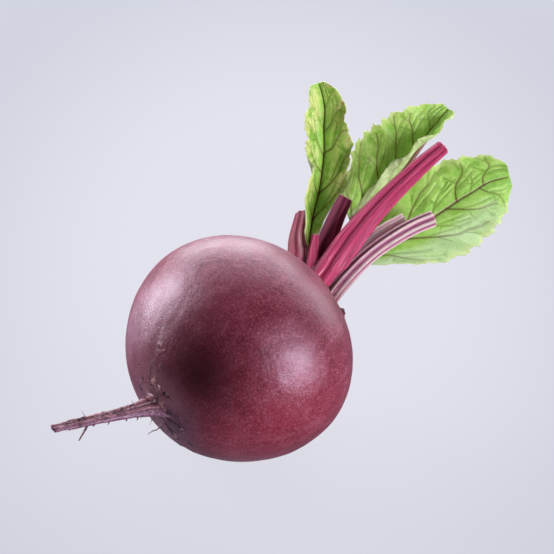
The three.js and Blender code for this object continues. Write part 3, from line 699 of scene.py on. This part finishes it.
def hair_tube(points, radii, sides=7):
    """A thin tube along points, as points and faces."""
    tangents = unit(np.gradient(points, axis=0))
    guide = np.array([0.13, 0.31, 0.94])
    normal = unit(np.cross(tangents, guide))
    other = np.cross(tangents, normal)
    angle, radii = angles(sides), radii[:, None]
    rings = sweep(points, other, normal, radii * np.sin(angle), radii * np.cos(angle))
    body = np.vstack([rings.reshape(-1, 3), points[:1], points[-1:]])
    return body, tube_faces(len(points), sides)


def join_tubes(name, tubes):
    """One mesh from many tubes."""
    points, faces, count = [], [], 0
    for body, quads in tubes:
        points.append(body)
        faces += [tuple(corner + count for corner in quad) for quad in quads]
        count += len(body)
    return make_mesh(name, np.vstack(points), faces)


def side_root_path(along, clock, length, lean, curl, steps=10, wander=0.0, seed=0):
    foot = skin_point(np.array(along), np.array(clock), -SIDE_ROOT_SINK)
    """Points of a hair that starts inside the skin, leans to the taproot's tip, curls and wanders."""
    out = direction((0, math.cos(clock), math.sin(clock)))
    round_way = np.cross(ALONG, out)
    heading = unit(out - ALONG * math.tan(lean))
    reach = length + SIDE_ROOT_SINK
    middle = foot + heading * reach * 0.5
    tip = foot + heading * reach * (1 - abs(curl) * 0.3) + round_way * reach * curl
    t = np.linspace(0, 1, steps)[:, None]
    path = foot * (1 - t) ** 2 + 2 * middle * t * (1 - t) + tip * t**2
    shake = np.stack([noise(path + 20 * k, 2.5, seed + k, 2) for k in range(3)], -1)
    path = path + wander * shake * t
    path[:, 2] = np.maximum(path[:, 2], 0.3)
    return path


def build_side_roots():
    """The side roots of the solids, then finer hairs between them."""
    random = seeded_random(41)
    tubes = []
    for degrees in SIDE_ROOT_ROWS:
        row = math.radians(degrees)
        along = -TAIL_START - 3
        while along > -TAIL_END + 3:
            place = along - next(random) * 1.6
            clock = row + (next(random) - 0.5) * 0.8
            length = 0.8 + next(random) ** 2 * 2.6
            lean = 0.5 + next(random) * 0.4
            path = side_root_path(place, clock, length * 0.7, lean, 0.25, 8, 0.5, int(-along))
            tubes.append(hair_tube(path, 0.5 * (1 - 0.75 * np.linspace(0, 1, 8) ** 0.6)))
            along -= SIDE_ROOT_SPACING
        for _ in range(SOLID_SCAR_DRAWS):
            next(random)
    lower = math.radians(SIDE_ROOT_ROWS[1])
    near_tip = side_root_path(-60, lower, 6, lean=0.75, curl=0.25, steps=16, wander=0.5, seed=3)
    tubes.append(hair_tube(near_tip, np.linspace(0.5, 0.2, 16)))
    curled = side_root_path(-36.2, lower, 6, lean=1.46, curl=0.05, steps=20, wander=1.1, seed=4)
    tubes.append(hair_tube(curled, np.linspace(0.3, 0.1, 20)))
    fine = seeded_random(7)
    for count in range(20):
        degrees = SIDE_ROOT_ROWS[count % 2]
        clock = math.radians(degrees) + (next(fine) - 0.5) * 1.6
        along = -TAIL_START + 1.5 - next(fine) ** 1.5 * 30
        curl = next(fine) * 1.2 - 0.6
        length = 0.4 + 3.2 * next(fine) ** 3
        path = side_root_path(along, clock, length, next(fine) * 1.1, curl, 12, 0.7, count)
        tubes.append(hair_tube(path, np.linspace(0.14, 0.05, 12), 5))
    return join_tubes("beet_side_roots", tubes)


# Stalks

STALK_UV_LENGTH = 40

# Shares of a stalk's length where its cut end is rounded, and how wide it still is there
STALK_END = [0.985, 0.991, 0.995, 0.998, 0.9995, 1.0]
STALK_END_SIZE = [1, 0.985, 0.95, 0.9, 0.8, 0.6]


def stalk_shape(stalk, rings=70, sides=84):
    """Points of a ribbed stalk with a groove along it, and its cut end rounded."""
    path = Path(stalk["points"])
    share = np.r_[np.linspace(0, STALK_END[0], rings - len(STALK_END) + 1), STALK_END[1:]]
    centre, tangent = path.point(share), path.tangent(share)
    first = stalk["points"][0]
    out = direction((0, first[1], first[2]))
    out = unit(out - (tangent @ out)[:, None] * tangent)
    side = np.cross(tangent, out)
    angle = angles(sides)
    groove_at, groove_depth, groove_spread = stalk["groove"]
    from_groove = clock_apart(angle, groove_at) / math.radians(groove_spread)
    hollow = hill(from_groove)
    rib = stalk["rib"] * np.cos(STALK_RIBS * angle)
    wide = along_three(stalk["width"], share)[:, None] / 2
    deep = along_three(stalk["depth"], share)[:, None] / 2
    scale = 1 - groove_depth * hollow
    grain_at = np.stack(np.broadcast_arrays(np.cos(angle) * 6, np.sin(angle) * 6,
                                            (share * path.length * 0.06)[:, None]), -1)
    fibres = 0.09 * noise(grain_at, 1.0, 11, 2)
    rounding = np.interp(share, STALK_END, STALK_END_SIZE)
    factor = (1 + fibres) * rounding[:, None]
    across = np.sin(angle) * (wide * scale + rib) * factor
    outward = np.cos(angle) * (deep * scale + rib) * factor
    return path, share, angle, sweep(centre, side, out, across, outward), centre


def build_stalk(name, stalk):
    """A leaf stalk, heart shoot or stub, cut off short."""
    path, share, angle, points, centre = stalk_shape(stalk)
    run = share[:, None] * path.length
    # by default the painted shade band runs down the groove
    band_at, band_spread, band_from = stalk.get("band", (stalk["groove"][0], 14, 0))
    band = hill(clock_apart(angle, band_at) / math.radians(band_spread))
    values = {
        "band": band * smoothstep(band_from - 0.15, band_from + 0.3, share)[:, None],
        "ridge": 0.5 + 0.5 * np.cos(STALK_RIBS * angle),
        "foot": np.exp(-np.maximum(0, run - 4) / 8),
        # painted shade on the stalk's sides near the crown, where the stalks beside it shade it
        "gap": np.abs(np.sin(angle)) ** 4 * np.exp(-np.maximum(0, run - 5) / 6) * 0.8,
        "end": smoothstep(0.9925, 0.999, share)[:, None],
    }
    seed = sum(map(ord, name)) % 17  # keeps the streaks of one stalk from being another's
    across = angle / (2 * math.pi) + seed
    along = run / STALK_UV_LENGTH + seed
    return make_tube(name + "_skin", points, (centre[0], centre[-1]), values, across, along)


def stub(order):
    """The form of a stub, as the named stalks have it."""
    clock = math.radians(STUB_CLOCKS[order])
    points = []
    for share in (0, 0.4, 0.7, 1):
        reach = (STUB_LENGTHS[order] + 5) * share
        out = STUB_OUT + reach * math.sin(STUB_LEAN)
        points.append((31 + reach * math.cos(STUB_LEAN), out * math.cos(clock), out * math.sin(clock)))
    return dict(points=points, width=(8, 6.8, 5.6), depth=(4.2, 4, 3.4), rib=0.18, groove=(180, 0.25, 30))


# Leaves

def leaf_frame(leaf, path, share):
    """Middle line of a leaf, with the ways along it, out of its face and to its left."""
    tangent = path.tangent(share)
    face = direction(leaf["face"])
    face = unit(face - np.sum(face * tangent, -1, keepdims=True) * tangent)
    return path.point(share), tangent, face, np.cross(face, tangent)


def leaf_outline(half, share):
    """How wide half a blade is at each share of its length, from 0 to 1."""
    widest = half["widest"]
    low = np.sin(math.pi / 2 * np.clip(share / widest, 0, 1)) ** half["base"]
    high = np.cos(math.pi / 2 * np.clip((share - widest) / (1 - widest), 0, 1)) ** half["tip"]
    return np.where(share < widest, low, high)


def blade_surface(leaf, path, share, across):
    """The middle surface of a blade. across runs from -1 at the right margin to 1 at the left."""
    centre, tangent, face, left = leaf_frame(leaf, path, mix(leaf["blade_from"], 1, share))
    reach = np.abs(across)
    on_left = across >= 0
    pick = lambda key: np.where(on_left, leaf["left"][key], leaf["right"][key])
    outline = np.where(on_left, leaf_outline(leaf["left"], share), leaf_outline(leaf["right"], share))
    scallop = 1 + 0.035 * reach * np.sin(share * math.pi * 2 * leaf["waves"] * 2.3 + across)
    scallop += 0.018 * reach**4 * np.sin(share * math.pi * 2 * leaf["waves"] * 6.1 + across * 2)
    jag = np.stack(np.broadcast_arrays(share * 34, np.sign(across) * 3.0, leaf["waves"]), -1)
    scallop += 0.018 * reach**6 * noise(jag, 1.0, 25, 2)
    width = (0.9 + pick("width") * outline) * scallop
    folds = zip(leaf["left"]["fold"], leaf["right"]["fold"])
    fold_low, fold_high = (np.where(on_left, *pair) for pair in folds)
    angle = np.radians(mix(fold_low, fold_high, share)) + np.radians(pick("bend")) * reach / 2
    forward = width * reach * np.tan(np.radians(pick("lean"))) * np.sqrt(np.maximum(0, 1 - share))
    wave_phase = share * math.pi * 2 * leaf["waves"] + across * 1.3
    wave = leaf["wave_height"] * outline * reach**2 * np.sin(wave_phase)
    aside = np.sign(across) * (width * reach * np.cos(angle) - wave * np.sin(angle))
    return (centre + tangent * forward[..., None] + left * aside[..., None]
            + face * (width * reach * np.sin(angle) + wave * np.cos(angle))[..., None])


def surface_normals(points):
    """Normals of a grid of points, on the side that the upper skin looks to."""
    return unit(np.cross(np.gradient(points, axis=0), np.gradient(points, axis=1)))


def distance_to_line(points, line):
    """The distance from each point to the nearest of a finely sampled line's points."""
    best = np.full(len(points), 1e9)
    for start in range(0, len(line), 40):
        part = line[start:start + 40]
        best = np.minimum(best, np.linalg.norm(points[:, None] - part[None], axis=-1).min(axis=1))
    return best


VEINS = {  # side, start and end as shares of the blade, how far out it reaches, and its strength
    "leaf_1": [
        (-1, 0.04, 0.14, 0.8, 0.7), (-1, 0.18, 0.33, 0.95, 1.0), (-1, 0.35, 0.47, 1.0, 1.0),
        (-1, 0.58, 0.65, 0.95, 0.9), (-1, 0.7, 0.84, 0.85, 0.6), (-1, 0.84, 0.93, 0.7, 0.4),
        (1, 0.05, 0.12, 0.8, 0.5), (1, 0.18, 0.24, 0.85, 0.8), (1, 0.33, 0.37, 0.85, 0.7),
        (1, 0.47, 0.51, 1.0, 0.7), (1, 0.57, 0.74, 0.85, 0.6), (1, 0.72, 0.87, 0.8, 0.4),
    ],
    "leaf_2": [
        (1, 0.02, 0.06, 0.9, 0.9), (1, 0.12, 0.24, 1.0, 1.0), (1, 0.28, 0.42, 0.85, 1.0),
        (1, 0.36, 0.52, 0.7, 0.3), (1, 0.45, 0.68, 0.9, 1.0), (1, 0.64, 0.77, 0.8, 0.9),
        (1, 0.8, 0.9, 0.7, 0.5), (-1, 0.12, 0.2, 0.9, 0.4), (-1, 0.34, 0.42, 0.9, 0.4),
        (-1, 0.56, 0.64, 0.9, 0.4), (-1, 0.76, 0.84, 0.8, 0.3),
    ],
    "leaf_3": [
        (1, 0.06, 0.26, 0.95, 0.7), (1, 0.27, 0.6, 0.9, 1.0), (1, 0.48, 0.62, 0.55, 0.4),
        (1, 0.65, 0.74, 0.85, 1.0), (1, 0.83, 0.9, 0.9, 0.8), (1, 0.74, 0.8, 0.5, 0.4),
        (-1, 0.08, 0.24, 0.9, 0.7), (-1, 0.26, 0.62, 0.82, 1.0), (-1, 0.58, 0.78, 0.65, 0.8),
        (-1, 0.44, 0.52, 0.5, 0.4), (-1, 0.8, 0.88, 0.85, 0.7),
    ],
}
MIDRIB_WIDTH = 0.62
VEIN_WIDTH = 0.36
VEIN_BRANCH_WIDTH = 0.22
# the paleness of the right half is a painted sheen
LEAF_COLOURS = {  # how yellow, how pale the right half, how spotted the right margin
    "leaf_1": (0.95, 0.0, 0.9),
    "leaf_2": (0.3, 0.0, 0.0),
    "leaf_3": (0.12, 0.75, 0.0),
}


def vein_strength(leaf, path, flat, veins):
    """How dark the side veins are at each point: thick at the midrib, thin and branched further out."""
    strength = np.zeros(len(flat))
    nearest = np.full(len(flat), 1e9)
    for count, (side, start, end, reach, power) in enumerate(veins):
        out = np.linspace(0, reach, 70)
        bow = 0.03 * np.sin(out / reach * 7 + count)
        run = start + (end - start) * (out / reach) ** 1.3 + bow * out
        lines = [(out, run, VEIN_WIDTH, 1.0)]
        for part, turn in ((0.3, 0.11), (0.45, -0.09), (0.6, 0.09), (0.75, -0.07)):
            at_out = part * reach
            branch = np.linspace(at_out, min(1.0, at_out + 0.32 * reach), 40)
            root_run = np.interp(at_out, out, run)
            slope = (end - start) / reach + turn / (0.32 * reach)
            lines.append((branch, root_run + slope * (branch - at_out), VEIN_BRANCH_WIDTH, 0.65))
        for places, shares, width, dark in lines:
            line = blade_surface(leaf, path, np.clip(shares, 0, 0.98), side * places)
            for first in range(0, len(line), 35):
                part = line[first:first + 36]
                gaps = np.linalg.norm(flat[:, None] - part[None], axis=-1)
                closest = gaps.argmin(axis=1)
                gap = gaps[np.arange(len(flat)), closest]
                faded = 1 - 0.45 * places[np.minimum(first + closest, len(places) - 1)]
                wide = width * (0.6 + 0.4 * faded)
                strength = np.maximum(strength, power * dark * faded * hill(gap / wide))
                nearest = np.minimum(nearest, gap / max(power * dark, 0.3))
    return strength, nearest


def build_blade(name, leaf, rows=230, columns=151):
    """A blade of two skins and a rim, puffed up between its sunken veins."""
    path = Path(leaf["midrib"])
    share = 0.985 * (1 - (1 - np.linspace(0, 1, rows)) ** 1.25)
    across = np.linspace(-1, 1, columns)
    share, across = np.meshgrid(share, across, indexing="ij")
    plain = blade_surface(leaf, path, share, across)
    midrib = blade_surface(leaf, path, np.linspace(0, 0.97, 160), np.zeros(160))
    flat = plain.reshape(-1, 3)
    to_rib = distance_to_line(flat, midrib).reshape(share.shape)
    vein, to_vein = (part.reshape(share.shape) for part in vein_strength(leaf, path, flat, VEINS[name]))
    thinning = mix(1.0, 0.4, share)
    rib = hill(to_rib / (MIDRIB_WIDTH * thinning))
    nearest = np.minimum(to_vein, to_rib)
    edge = np.abs(across)
    puffed = 1 - hill(nearest / 2.2)
    lift = 0.32 * puffed - 0.1 * vein - 0.3 * rib
    lift += puffed * (0.4 * noise(plain, 6.5, 12) + 0.1 * noise(plain, 2.4, 13, 2))
    lift += 0.5 * noise(plain, 5.5, 21) * smoothstep(0.55, 1, edge)
    lift *= smoothstep(0, 0.06, share)
    normal = surface_normals(plain)
    middle = plain + normal * lift[..., None]
    thin = BLADE_THICKNESS * (1 - 0.55 * smoothstep(0.9, 1, edge)) / 2
    skins = [middle + normal * thin[..., None], middle - normal * thin[..., None]]
    count = rows * columns
    grid = np.arange(count).reshape(rows, columns)
    a, b, c, d = grid[:-1, :-1].ravel(), grid[:-1, 1:].ravel(), grid[1:, 1:].ravel(), grid[1:, :-1].ravel()
    faces = np.vstack([np.stack([a, d, c, b], 1), np.stack([a, b, c, d], 1) + count]).tolist()
    rim = np.r_[grid[0, :-1], grid[:-1, -1], grid[-1, :0:-1], grid[:0:-1, 0]]
    after = np.roll(rim, -1)
    faces += np.stack([rim, after, after + count, rim + count], 1).tolist()
    yellow, painted_sheen, spots = LEAF_COLOURS[name]
    ragged = edge + 0.12 * noise(plain, 3, 22, 2)
    fold = -across + 0.1 * noise(plain, 6, 23) - 0.25
    values = {
        "midrib": rib, "vein": vein,
        "near_vein": hill(nearest / 1.5),
        "margin": smoothstep(0.82, 1.0, ragged),
        "yellow": yellow * smoothstep(0.1, 0.75, ragged + 0.35 * noise(plain, 7, 24)),
        # painted sheen on the right half, beyond the blade's fold
        "painted_sheen": painted_sheen * smoothstep(0.0, 0.3, fold) * (1 - smoothstep(0.7, 0.85, share)),
        "spots": spots * (across < 0) * smoothstep(0.75, 0.95, ragged) * smoothstep(0.3, 0.6, share),
    }
    both = {key: np.tile(value.ravel(), 2) for key, value in values.items()}
    both["upper"] = np.r_[np.ones(count), np.zeros(count)]
    uv = np.tile(np.stack([across * 0.5 + 0.5, share], -1).reshape(-1, 2), (2, 1))
    points = np.vstack([skin.reshape(-1, 3) for skin in skins])
    return make_mesh(name + "_blade_skin", points, [tuple(face) for face in faces], both, uv)


def build_leaf_stalk(name, leaf, rings=90, sides=24):
    """A leaf's own stalk, which runs on under the blade as its midrib."""
    path = Path(leaf["midrib"])
    share = np.linspace(0, 0.93, rings)
    centre, _, face, left = leaf_frame(leaf, path, share)
    radius = along_three(leaf["stalk_radius"], share)
    under = smoothstep(leaf["blade_from"] - 0.16, leaf["blade_from"] - 0.03, share)
    drop = under * (radius + SOLID_BLADE_THICKNESS / 2 + CLEARANCE * 1.4) - 0.55 * under
    angle = angles(sides)
    ribbed = radius[:, None] * (1 + 0.06 * np.cos(5 * angle))
    points = sweep(centre, left, face, ribbed * np.sin(angle), ribbed * np.cos(angle) - drop[:, None])
    ends = points[0].mean(axis=0), points[-1].mean(axis=0)
    values = {"under": under[:, None]}
    run = (share * path.length / STALK_UV_LENGTH)[:, None]
    return make_tube(name + "_stalk_skin", points, ends, values, angle / (2 * math.pi), run)


# The pieces

dress(build_root(), "skin", skin_material(), "beet_root")
dress(build_side_roots(), "skin", root_hair_material())

pink_stalk = stalk_material(
    "pink_stalk", (166, 38, 86), (206, 98, 142), (124, 20, 54), (138, 30, 62), (184, 48, 100), 0.5)
red_stalk = stalk_material(
    "red_stalk", (118, 14, 48), (158, 50, 90), (76, 6, 28), (84, 20, 36), (136, 22, 66), 0.5)
dark_stalk = stalk_material(
    "dark_stalk", (104, 24, 52), (146, 58, 92), (64, 12, 32), (168, 72, 118), (118, 26, 58), 0.5, 0.4)
# the striped and cream stalks' foot colours are painted shade, darker towards the crown
striped_stalk = stalk_material(
    "striped_stalk", (178, 122, 148), (214, 194, 192), (138, 66, 102), (130, 64, 92), (84, 14, 36), 0.9, 0.5,
    glow=0.2)
# the cream stalk is painted lighter than its own colour, as painted light where the stalks beside it shade it
painted_lit_cream_stalk = stalk_material(
    "painted_lit_cream_stalk", (250, 226, 230), (255, 246, 246), (236, 190, 204), (150, 74, 108), (150, 60, 92), 0.9, 0.3,
    glow=0.35)
STALK_LOOKS = {
    "stalk_1": ("stalk", red_stalk), "stalk_2": ("dark_stalk", dark_stalk), "stalk_3": ("stalk", pink_stalk),
    "stalk_4": ("pale_stalk", painted_lit_cream_stalk), "stalk_5": ("pale_stalk", striped_stalk),
    "heart_shoot": ("stalk", pink_stalk),
}
for node, stalk in STALKS.items():
    slot, material = STALK_LOOKS[node]
    dress(build_stalk(node, stalk), slot, material, node)
for order in range(len(STUB_CLOCKS)):
    node = f"stub_{order + 1}"
    dress(build_stalk(node, stub(order)), "dark_stalk", dark_stalk, node)

leaf_look = leaf_material()
leaf_stalk_look = leaf_stalk_material()
for node, leaf in LEAVES.items():
    dress(build_leaf_stalk(node, leaf), "leaf_stalk", leaf_stalk_look, node + "_stalk")
    dress(build_blade(node, leaf), "leaf", leaf_look, node + "_blade")


# Floor, light and camera

VIEW_AZIMUTH = math.radians(-42.3)
VIEW_ELEVATION = math.radians(30)
VIEW_DISTANCE = 850.0
MM_PER_PIXEL = 0.329
FRAME_PIXELS = 554
BULB_PIXEL = (240.5, 348.0)
SENSOR_WIDTH = 36
RIGHT = np.array([math.cos(VIEW_AZIMUTH), math.sin(VIEW_AZIMUTH), 0])
BACK = np.array([math.sin(VIEW_AZIMUTH) * math.cos(VIEW_ELEVATION),
                 -math.cos(VIEW_AZIMUTH) * math.cos(VIEW_ELEVATION), math.sin(VIEW_ELEVATION)])
ABOVE = np.cross(BACK, RIGHT)
STAGE_REACH = 3.0  # metres
FLOOR_GLOW_SHIFT = (-0.012, -0.114, 0)  # metres; the glow's middle is right of and behind the origin
LAMP_TINT = (1.0, 0.97, 1.0)


def build_stage():
    """A pale floor that glows softly, lighter in the middle of the picture, inside a pale dome."""
    s = Shader("pale_floor")
    turned = {"Vector": s.node("TexCoord").outputs["Object"], "Rotation": (0, 0, -VIEW_AZIMUTH),
              "Location": FLOOR_GLOW_SHIFT}
    flattened = {"Vector": s.node("Mapping", turned).outputs["Vector"], "Scale": (1.0, 0.5, 1.0)}
    place = s.node("Mapping", flattened).outputs["Vector"]
    spot = s.node("VectorMath", {0: place}, operation="LENGTH").outputs["Value"]
    glow = s.blend(s.ramp(spot, 0.05, 0.16), (216, 216, 226), (195, 198, 210))
    s.link(glow, s.surface.inputs["Emission Color"])
    s.finish(colour((54, 54, 56)), 1.0, emission_strength=1.0, specular_ior_level=0.0)
    dome_look = Shader("pale_dome")
    dome_look.link(colour((212, 214, 226)), dome_look.surface.inputs["Emission Color"])
    dome_look.finish(colour((0, 0, 0)), 1.0, emission_strength=1.0, specular_ior_level=0.0)
    bpy.ops.mesh.primitive_uv_sphere_add(segments=64, ring_count=32, radius=STAGE_REACH)
    dome = bpy.context.object
    dome.name = "dome"
    dome.data.materials.append(dome_look.material)
    dome.visible_diffuse = False
    dome.visible_glossy = False
    dome.visible_shadow = False
    mesh = bpy.data.meshes.new("floor")
    corners = [(x * STAGE_REACH, y * STAGE_REACH, 0) for x, y in ((-1, -1), (1, -1), (1, 1), (-1, 1))]
    mesh.from_pydata(corners, [], [(0, 1, 2, 3)])
    mesh.materials.append(s.material)
    floor = add_object("floor", mesh)
    floor.visible_glossy = False


def build_camera():
    """The camera of the photo, set so that the bulb's middle falls on its own pixel."""
    aside = (FRAME_PIXELS / 2 - BULB_PIXEL[0]) * MM_PER_PIXEL
    lower = (BULB_PIXEL[1] - FRAME_PIXELS / 2) * MM_PER_PIXEL
    eye = BULB_CENTRE + BACK * VIEW_DISTANCE + RIGHT * aside + ABOVE * lower
    data = bpy.data.cameras.new("camera")
    data.sensor_width = SENSOR_WIDTH
    data.lens = SENSOR_WIDTH * VIEW_DISTANCE / MM_PER_PIXEL / FRAME_PIXELS
    data.clip_end = 20
    camera = add_object("camera", data)
    camera.matrix_world = Matrix.Translation(eye * MM) @ Matrix(np.stack([RIGHT, ABOVE, BACK], 1)).to_4x4()
    bpy.context.scene.camera = camera


def softbox(name, way, distance, size, power, tint=LAMP_TINT):
    """A rectangular lamp. way is the direction from the bulb: right, above and back towards the camera."""
    data = bpy.data.lights.new(name, "AREA")
    data.shape = "RECTANGLE"
    data.size, data.size_y = size
    data.energy = power
    data.color = tint
    lamp = add_object(name, data)
    towards = unit(way[0] * RIGHT + way[1] * ABOVE + way[2] * BACK)
    lamp.location = Vector((BULB_CENTRE * MM + towards * distance).tolist())
    lamp.rotation_euler = Vector(towards.tolist()).to_track_quat("Z", "Y").to_euler()


build_stage()
build_camera()
softbox("left_box", (-0.82, 0.52, -0.2), 0.9, (0.5, 0.65), 14)
softbox("right_box", (0.80, -0.25, 0.54), 0.9, (0.5, 0.55), 17)
softbox("back_box", (0.0, 0.78, -0.62), 1.0, (1.1, 0.5), 12)
softbox("far_right_box", (0.68, 0.55, -0.42), 1.0, (0.7, 0.7), 7.5)
softbox("top_box", (0.1, 0.97, -0.05), 1.0, (1.0, 0.8), 6, (1.0, 0.98, 1.0))
world = bpy.data.worlds.new("studio")
world.use_nodes = True
sky = world.node_tree.nodes["Background"].inputs
sky["Color"].default_value = (0.86, 0.88, 1.0, 1)
sky["Strength"].default_value = 0.09
bpy.context.scene.world = world
bpy.context.scene.view_settings.view_transform = "Standard"
